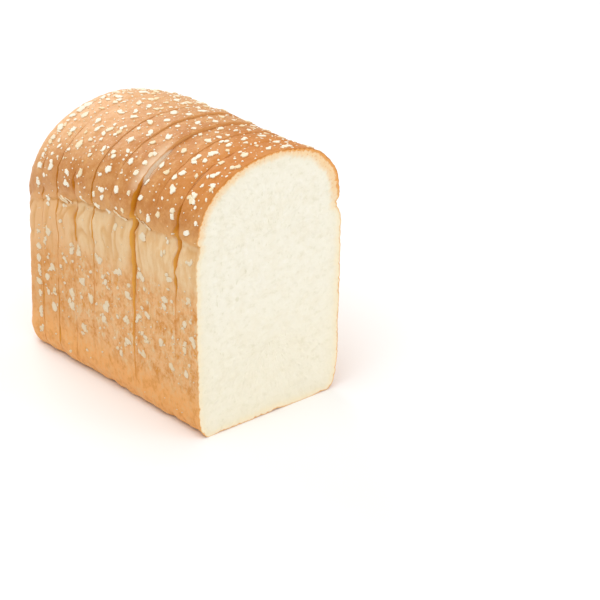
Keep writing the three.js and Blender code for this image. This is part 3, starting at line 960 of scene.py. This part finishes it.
def crown_colour(g, at, colours):
    """Brown and mottled, browner by the cut face, and paler on top towards the heel, where the paleness is
    painted sheen.
    """
    dusting = g.noise(at.place, 1.9, 4.0, 0.7) + 0.0008 * at.length
    return g.layers(
        colours.crown,
        (at.patches + 0.5 * at.mottle, 0.6, 0.95, 1, colours.crown_deep),
        (at.mottle, 0.5, 0.72, 0.5, colours.crown_deep),
        (at.mottle, 0.46, 0.28, 0.5, colours.crown_low),
        (at.speckle, 0.55, 0.7, 0.6, colours.crown_deep),
        (at.speckle, 0.42, 0.3, 0.5, colours.crown_low),
        (at.over + 8 * at.mottle, 17, 3, mix(0.85, 0.5, g.step(at.length, 10, 60)), colours.crown_low),
        # painted sheen: the crown is paler on top and, towards the heel, just over the crease
        (at.over, 19, 37, g.step(at.length, -20, 60) * 0.65, colours.crown_sheen),
        (at.over, 4, 14, g.step(at.length, 42, 74) * 0.35, colours.crown_sheen),
        (at.over, 10, 26, g.step(at.length, -20, -60) * 0.6, colours.crown_front),
        (at.over, 24, 8, g.step(at.length, 20, 60) * 0.4, colours.crown_deep),
        (at.over + 6 * at.mottle, 15, 4, g.step(at.length, 14, 50) * 0.65, colours.side),
        (dusting, 0.54, 0.7, g.step(at.over, 12, 36) * 0.35, colours.crown_dust),
    )


def side_colour(g, at, colours):
    """Golden and blotchy down the side, over a smoother foot."""
    pits = g.noise(g.position(1, 1, 0.5), 2.6, 2.0, 0.5)
    dust = g.noise(g.position(1, 1, 0.7), 4.5, 4.0, 0.7)
    foot = g.layers(
        colours.foot,
        (at.mottle, 0.5, 0.75, 0.5, colours.side_deep),
        (at.fibres, 0.52, 0.7, 0.4, colours.band),
        (at.blotches, 0.5, 0.66, 0.45, colours.side_deep),
        (at.blotches, 0.48, 0.36, 0.4, colours.band),
    )
    return g.layers(
        colours.side,
        (at.mottle, 0.42, 0.7, 0.7, colours.side_deep),
        (at.blotches, 0.53, 0.66, 0.8, colours.side_deep),
        (at.blotches, 0.46, 0.34, 0.7, colours.dust),
        (at.streaks, 0.5, 0.7, 0.6, colours.band),
        (at.fibres, 0.54, 0.7, 0.5, colours.side_deep),
        (at.speckle, 0.58, 0.74, 0.6, colours.side_deep),
        (at.speckle, 0.42, 0.3, 0.5, colours.dust),
        (pits, 0.62, 0.7, 0.6, colours.groove_shade_and_pits),
        (dust, 0.55, 0.68, 0.7, colours.dust),
        (at.length, 10, 66, 0.42, colours.side_deep),
        (at.length, 20, 76, 0.3, foot),
        (at.height + 9 * at.patches, 36, 20, 1, foot),
    )


def band_colour(g, at, colours):
    """The pale stretched band under the crease, which fades towards the rear."""
    return g.layers(
        colours.band,
        (at.streaks, 0.42, 0.62, 1, colours.band_pale),
        (at.streaks, 0.46, 0.32, 0.45, colours.side),
        (at.fibres, 0.56, 0.72, 0.2, colours.side),
        (at.length, -40, -10, 0.45, colours.band_pale),
        (at.length, 20, 50, 0.8, colours.side),
    )


def skin_colour(g, at, colours):
    skin = g.layers(
        side_colour(g, at, colours),
        (at.over + 16 * at.mottle, -30, -12, 1, band_colour(g, at, colours)),
        (at.over + 3 * at.speckle, -0.5, 3.5, 1, crown_colour(g, at, colours)),
    )
    # partly painted shade, partly the crust's browner colour: the bottom of folds, of the crease and of torn
    # slits is darker
    skin = g.blend(at.fold * mix(0.45, 0.85, g.step(at.over, -6, -1)), skin, colours.groove)
    # below zero, the fold is a worn pale edge
    return g.blend(at.fold * (at.mottle + 0.45) * -1.0, skin, colours.sunken)


def face_colour(g, at, colours):
    """Crumb with painted shade in its pores and painted highlights on its flecks, with a border beside the
    crust and a thin crust line that is thicker on the crown.
    """
    clouds = g.noise(at.place, 7, 3.0, 0.5)
    holes = g.noise(g.position(1, 1, 0.6), 2.8, 2.0, 0.5)
    tears = g.noise(g.position(1, 1, 0.4), 2.0, 3.0, 0.6)
    crumb = g.layers(
        colours.crumb,
        (clouds, 0.4, 0.7, 0.6, colours.crumb_shade),
        # painted shade in the pores, holes and tears, and painted highlights between the pores
        (at.pores, 0.51, 0.72, 0.5, colours.pore_shade),
        (at.pores, 0.46, 0.3, 0.5, colours.crumb_highlight),
        (holes, 0.66, 0.75, 0.6, colours.pore_shade),
        (tears, 0.62, 0.74, g.step(at.width, -14, -36) * 0.7, colours.pore_shade),
    )
    warmth = g.step(at.height, 90, 25) * 0.3 + g.step(at.depth + 9 * clouds, 16, 4) * 0.4
    crumb = g.blend(warmth, crumb, colours.crumb_warm)

    upper = g.step(at.over, -10, 12)
    shoulder = upper * g.step(at.width, 8, 40)
    border = g.blend(upper * 0.7 + shoulder * 0.15, colours.border, colours.border_crown)
    flecks = g.noise(at.place, 1.3, 2.0, 0.6)
    border = g.layers(border, (flecks, 0.56, 0.68, upper * 0.6, colours.rim_crown))
    border_depth = at.depth + 5 * (at.mottle - 0.5) - 2.4 * shoulder
    border_depth = border_depth - upper * mix(0.8, 1.8, g.step(at.width, -2, -24))
    rim_depth = at.depth - mix(0.1, 0.6, upper) - 1.1 * (at.mottle - 0.5)
    rim_depth = rim_depth - 2.4 * (at.speckle - 0.5) * upper - 0.6 * shoulder
    rim = g.blend(upper, colours.rim_side, colours.rim_crown)
    return g.layers(crumb, (border_depth, 5.0, 0.2, 1, border), (rim_depth, 0.9, -0.3, 1, rim))


def groove_colour(g, at, colours):
    """The wall of a gap: crust colour carried deep in as painted bounce light, darker on the crown as painted
    shade, and crumb further in, which starts sooner on the left of the crown.
    """
    crust_and_painted_light_reach = mix(5, 0.3, g.step(at.over, 14, 26) * g.step(at.width, -12, -28))
    # painted bounce light down the gap's walls, and painted shade on the walls of the crown's gaps
    return g.layers(
        colours.groove_crust_and_bounce_light,
        (at.over, 0, 8, 1, colours.groove_shade_and_pits),
        (at.over, 16, 32, 0.85, colours.crown_low),
        (-1 - at.depth - crust_and_painted_light_reach, -0.6, 1.4, 1, colours.crumb),
    )


def bread_material(colours):
    """Crust outside and crumb inside, told apart by the depth under the crust."""
    g = Graph("bread")
    at = bread_values(g)
    colour = g.layers(
        skin_colour(g, at, colours),
        (at.depth, 0.02, 0.25, 1, face_colour(g, at, colours)),
        (at.depth, -0.1, -0.8, 1, groove_colour(g, at, colours)),
    )
    satin = mix(0.6, 0.45, g.step(at.over, -1, 6)) + 0.16 * (at.mottle - 0.5)
    satin = satin + 0.15 * g.step(at.length, 0, -60)
    roughness = mix(satin, 0.92, g.step(at.depth, 0.05, 0.6))
    grain = g.noise(at.place, 0.9, 3.0, 0.6)
    relief = mix(grain * 0.5 + at.speckle * 0.5, at.pores, g.step(at.depth, 0.3, 1.5))
    return g.finish({"Base Color": colour, "Roughness": roughness, "Specular IOR Level": 0.35,
                     "Specular Tint": (1.0, 0.84, 0.66, 1.0), "Normal": g.bump(relief, 0.28, 0.9)})


def oat_material(colours):
    """Dry rolled oats: cream, browner round the edge, and duller where they are baked into the side."""
    g = Graph("oat_flake")
    cloud = g.noise(g.position(), 1.1, 3.0, 0.6)
    colour = g.layers(
        colours.oat,
        (g.attribute("toast") + 0.5 * cloud, 0.7, 1.3, 1, colours.oat_toasted),
        (cloud, 0.55, 0.8, 0.35, colours.oat_bran),
        (g.attribute("edge") + 0.3 * cloud, 0.35, 1.1, 0.8, colours.oat_bran),
        (g.attribute("over_crease"), 6, -10, 0.75, colours.oat_baked_in),
    )
    return g.finish({"Base Color": colour, "Roughness": 0.7, "Specular IOR Level": 0.3,
                     "Normal": g.bump(cloud, 0.12, 0.7)})


def dough_material(colours):
    """Torn dough: pale ridges with browner edges."""
    g = Graph("torn_dough")
    cloud = g.noise(g.position(), 1.5, 3.0, 0.6)
    colour = g.layers(colours.strand, (g.attribute("edge") + cloud, 0.7, 1.3, 1, colours.groove))
    return g.finish({"Base Color": colour, "Roughness": 0.6, "Specular IOR Level": 0.4,
                     "Normal": g.bump(cloud, 0.15, 0.7)})


def floor_material(colours):
    g = Graph("pale_floor")
    cloud = g.noise(g.position(), 60, 2.0)
    colour = g.blend(cloud, colours.floor, tuple(0.995 * part for part in colours.floor))
    return g.finish({"Base Color": colour, "Roughness": 0.8, "Specular IOR Level": 0.2})


# ---- Settings ----

def linear(red, green, blue):
    """A colour picked on screen, 0 to 255, as the shader takes it."""
    return tuple(part / 255 / 12.92 if part / 255 <= 0.04045 else ((part / 255 + 0.055) / 1.055) ** 2.4
                 for part in (red, green, blue))


def colour_setting(name, description, red, green, blue):
    return bpy.props.FloatVectorProperty(name=name, description=description, subtype="COLOR", size=3,
                                         min=0, max=1, default=linear(red, green, blue))


def size_setting(name, description, default):
    """A length in millimetres."""
    return bpy.props.FloatProperty(name=name, description=description, default=default, min=0)


def count_setting(name, description, default):
    return bpy.props.IntProperty(name=name, description=description, default=default, min=0)


def angle_setting(name, description, degrees):
    return bpy.props.FloatProperty(name=name, description=description, default=math.radians(degrees),
                                   subtype="ANGLE")


def power_setting(name, description, watts):
    return bpy.props.FloatProperty(name=name, description=description, default=watts, subtype="POWER")


class LoafShape(bpy.types.PropertyGroup):
    """Relief and flakes"""

    swell: size_setting("Swell", "How much the crust swells and dips, mm", 1.0)
    fold_depth: size_setting("Fold depth", "Depth of the upright folds under the crease, mm", 0.7)
    crease_depth: size_setting("Crease depth", "Depth of the crease under the crown, mm", 0.8)
    slice_droop: size_setting("Slice droop", "How far the crust sinks towards a gap of 1 mm, mm", 0.7)
    bulge: size_setting("Bulge", "How far the crown swells over the crease in the loaf's middle, mm", 0.9)
    hollow: size_setting("Hollow", "How far the side sinks in under the pale band, mm", 0.8)
    small_flakes: count_setting("Small flakes", "Small flakes on every slice", 16)
    clumped_flakes: count_setting("Clumped flakes", "Small flakes beside larger ones", 44)
    oat_bits: count_setting("Oat bits", "Broken bits of oat on every slice", 170)


class LoafColours(bpy.types.PropertyGroup):
    """Colours of the crust, the crumb and the oats"""

    crown: colour_setting("Crown", "The crust on top", 211, 150, 90)
    crown_deep: colour_setting("Crown, deep", "Its browner patches", 195, 125, 60)
    crown_low: colour_setting("Crown, low", "Its paler stretch over the crease", 226, 172, 110)
    crown_dust: colour_setting("Crown, dust", "Oat dust on top", 246, 214, 176)
    crown_front: colour_setting("Crown, front", "The browner top by the cut face", 208, 126, 45)
    # painted sheen: the paler middle of the crown
    crown_sheen: colour_setting("Crown, top", "The paler middle of the crown", 240, 188, 136)
    sunken: colour_setting("Sunken edge", "The pale edge of a sunken slice", 247, 216, 182)
    band: colour_setting("Band", "The pale band under the crease", 230, 189, 137)
    band_pale: colour_setting("Band, pale", "The band's stretch marks", 237, 204, 158)
    # partly painted shade, partly the crust's browner colour: the bottom of folds and of the crease
    groove: colour_setting("Groove", "The bottom of folds and of the crease", 211, 149, 66)
    # painted bounce light and painted shade: the crust colours of a gap's walls; the deep one also colours
    # the side's pits
    groove_crust_and_bounce_light: colour_setting("Groove wall", "The crust between two slices", 236, 178, 82)
    groove_shade_and_pits: colour_setting("Groove, deep", "The crust between two slices of the crown", 214, 142, 36)
    strand: colour_setting("Strand", "The torn strands over the crease", 246, 224, 186)
    side: colour_setting("Side", "The side of the loaf", 234, 181, 125)
    side_deep: colour_setting("Side, deep", "Its browner specks", 209, 136, 54)
    dust: colour_setting("Dust", "Smears of oat dust down the side", 228, 202, 160)
    foot: colour_setting("Foot", "The smooth golden foot", 240, 175, 105)
    rim_crown: colour_setting("Rim, crown", "The crust's cut edge round the crown", 236, 166, 92)
    rim_side: colour_setting("Rim, side", "The crust's cut edge down the side", 240, 196, 136)
    border: colour_setting("Border", "The crumb next to the crust", 250, 236, 204)
    border_crown: colour_setting("Border, crown", "The crumb next to the crown's crust", 250, 212, 162)
    # painted highlight: the crumb's lighter flecks
    crumb_highlight: colour_setting("Crumb, light", "The crumb's lighter flecks", 252, 248, 236)
    crumb_warm: colour_setting("Crumb, warm", "The crumb lower down and near the crust", 246, 235, 206)
    crumb: colour_setting("Crumb", "The crumb", 248, 243, 226)
    crumb_shade: colour_setting("Crumb, shade", "Its slightly darker clouds", 244, 237, 216)
    # painted shade: the crumb's darker pores, holes and tears
    pore_shade: colour_setting("Pore", "The crumb's pores", 226, 220, 194)
    oat: colour_setting("Oat", "A pale oat flake", 251, 244, 224)
    oat_toasted: colour_setting("Oat, toasted", "A toasted oat flake", 243, 222, 180)
    oat_bran: colour_setting("Oat, bran", "A flake's specks and edge", 224, 188, 136)
    oat_baked_in: colour_setting("Oat, baked in", "A flake that is baked into the side", 226, 204, 168)
    floor: colour_setting("Floor", "The floor", 253, 253, 253)


class LoafStage(bpy.types.PropertyGroup):
    """Camera and light"""

    azimuth: angle_setting("Azimuth", "Camera's turn round the loaf", -39.165)
    elevation: angle_setting("Elevation", "Camera's height as an angle", 27.583)
    distance: bpy.props.FloatProperty(name="Distance", description="From the camera to its target",
                                      default=1.7772, unit="LENGTH")
    target: bpy.props.FloatVectorProperty(name="Target", description="The point in the middle of the view",
                                          default=(-0.0118, -0.1168, 0.09), subtype="TRANSLATION")
    lens: bpy.props.FloatProperty(name="Lens", description="Focal length in millimetres", default=204)
    sky: bpy.props.FloatProperty(name="Sky", description="Strength of the light from all round", default=0.6)
    overhead: power_setting("Overhead", "Power of the lamp over the loaf", 10)
    fill: power_setting("Fill", "Power of the lamp before the cut face", 6.5)
    sheen: power_setting("Sheen", "Power of the lamp behind the heel", 13)


# ---- The stage, in metres ----

FLOOR_HALF = 6.0
LIT_POINT = (0, 0, 0.08)        # what the lamps point at
# The name of each lamp and of its power's setting, its width and its place.
LAMPS = (
    ("overhead", 1.3, (-0.5, -0.2, 1.5)),
    ("fill", 1.2, (0.9, -1.5, 0.8)),
    ("sheen", 1.5, (0.3, 1.6, 1.1)),
)


def add_aimed(name, data, place, direction):
    added = add_object(name, data)
    added.location = place
    added.rotation_euler = direction.to_track_quat("-Z", "Y").to_euler()
    return added


def add_floor(colours):
    mesh = bpy.data.meshes.new("floor")
    corners = [(x * FLOOR_HALF, y * FLOOR_HALF, 0) for x, y in ((-1, -1), (1, -1), (1, 1), (-1, 1))]
    mesh.from_pydata(corners, [], [(0, 1, 2, 3)])
    mesh.materials.append(floor_material(colours))
    add_object("floor", mesh)


def add_light(scene, stage):
    world = bpy.data.worlds.new("studio")
    world.use_nodes = True
    sky = world.node_tree.nodes["Background"].inputs
    sky["Color"].default_value = (1, 1, 1, 1)
    sky["Strength"].default_value = stage.sky
    scene.world = world
    for name, width, place in LAMPS:
        lamp = bpy.data.lights.new(name, "AREA")
        lamp.energy = getattr(stage, name)
        lamp.shape = "DISK"
        lamp.size = width
        add_aimed(name, lamp, place, Vector(LIT_POINT) - Vector(place))


def add_camera(scene, stage):
    flat, up = math.cos(stage.elevation), math.sin(stage.elevation)
    back = Vector((math.sin(stage.azimuth) * flat, -math.cos(stage.azimuth) * flat, up))
    lens = bpy.data.cameras.new("camera")
    lens.lens = stage.lens
    scene.camera = add_aimed("camera", lens, Vector(stage.target) + back * stage.distance, -back)
    scene.view_settings.view_transform = "Standard"


# ---- Operators and panel ----

class LOAF_OT_slices(bpy.types.Operator):
    """Add the eight slices and the heel, with crust and crumb"""

    bl_idname = "loaf.slices"
    bl_label = "Slices"

    def execute(self, context):
        material = bread_material(context.scene.loaf_colours)
        for index in range(len(SLICES)):
            build_slice(index, material, context.scene.loaf_shape)
        return {"FINISHED"}


class LOAF_OT_flakes(bpy.types.Operator):
    """Add the oat flakes and the broken bits of oat"""

    bl_idname = "loaf.flakes"
    bl_label = "Oat flakes"

    def execute(self, context):
        shape = context.scene.loaf_shape
        context.view_layer.update()
        flakes, bits = Scatter(FLAKE_SIDES, FLAKE_RINGS), Scatter(BIT_SIDES, BIT_RINGS)
        for index in range(len(SLICES)):
            piece = Slice(index)
            bread = bread_under(piece.name)
            random = seeded_random(FLAKE_SEED + index)
            places, taken = CrustPlaces(piece, random), []
            found = crust_flakes(places, FLAKES_PER_SLICE, LARGE_FLAKES, taken, random)
            on_face = heel_face_flakes(piece, random) if piece.is_heel else []
            clumped = clumped_flakes(places, shape.clumped_flakes, found, random)
            found += crust_flakes(places, shape.small_flakes, SMALL_FLAKES, taken, random)
            for flake in found + on_face + clumped:
                thickness = mix(*FLAKE_THICKNESS, smooth_step(*CROWN_FLAKES_UP, over_crease(flake)))
                flakes.add(bread, flake, min(thickness, flake["half_length"] * THICKEST_FLAKE), random)
            for bit in crust_flakes(places, shape.oat_bits, OAT_BITS, [], random):
                if random() < mix(*BITS_KEPT, smooth_step(*BITS_KEPT_OVER, over_crease(bit))):
                    bits.add(bread, bit, BIT_THICKNESS * bit["half_length"], random)
            for bit in heel_dome_bits(piece, random) if piece.is_heel else []:
                bits.add(bread, bit, BIT_THICKNESS * bit["half_length"], random)
        material = oat_material(context.scene.loaf_colours)
        flakes.make("oat_flakes", material, "oat_flake")
        bits.make("oat_bits", material, "oat_flake")
        return {"FINISHED"}


class LOAF_OT_strands(bpy.types.Operator):
    """Add the strands of torn dough that hang over the crease"""

    bl_idname = "loaf.strands"
    bl_label = "Torn strands"

    def execute(self, context):
        context.view_layer.update()
        strands, random = Scatter(STRAND_SIDES, STRAND_RINGS), seeded_random(STRAND_SEED)
        pieces = [Slice(index) for index in range(len(SLICES))]
        for strand in (each for cut, rise in TORN_CUTS for each in torn_strands(cut, rise, random)):
            piece = next(each for each in pieces if strand["point"].y < each.back)
            strands.add(bread_under(piece.name), strand, STRAND_THICKNESS, random)
        strands.make("torn_strands", dough_material(context.scene.loaf_colours), "crust")
        return {"FINISHED"}


class LOAF_OT_stage(bpy.types.Operator):
    """Add the floor, the light and the camera"""

    bl_idname = "loaf.stage"
    bl_label = "Stage"

    def execute(self, context):
        scene = context.scene
        add_floor(scene.loaf_colours)
        add_light(scene, scene.loaf_stage)
        add_camera(scene, scene.loaf_stage)
        return {"FINISHED"}


class LOAF_PT_panel(bpy.types.Panel):
    """Lists the loaf's pieces and settings in the sidebar"""

    bl_idname = "LOAF_PT_panel"
    bl_label = "Sliced Tin Loaf"
    bl_space_type = "VIEW_3D"
    bl_region_type = "UI"
    bl_category = "Loaf"

    def draw(self, context):
        for operator in (LOAF_OT_slices, LOAF_OT_flakes, LOAF_OT_strands, LOAF_OT_stage):
            self.layout.operator(operator.bl_idname)
        for settings in (context.scene.loaf_shape, context.scene.loaf_colours, context.scene.loaf_stage):
            box = self.layout.box()
            for name in settings.__annotations__:
                box.prop(settings, name)


SETTINGS = {"loaf_shape": LoafShape, "loaf_colours": LoafColours, "loaf_stage": LoafStage}
CLASSES = (*SETTINGS.values(), LOAF_OT_slices, LOAF_OT_flakes, LOAF_OT_strands, LOAF_OT_stage, LOAF_PT_panel)


def register():
    for each in CLASSES:
        bpy.utils.register_class(each)
    for name, group in SETTINGS.items():
        setattr(bpy.types.Scene, name, bpy.props.PointerProperty(type=group))


def unregister():
    for name in SETTINGS:
        delattr(bpy.types.Scene, name)
    for each in reversed(CLASSES):
        bpy.utils.unregister_class(each)


def main():
    register()
    bpy.ops.loaf.slices()
    bpy.ops.loaf.flakes()
    bpy.ops.loaf.strands()
    bpy.ops.loaf.stage()


if __name__ == "__main__":
    main()
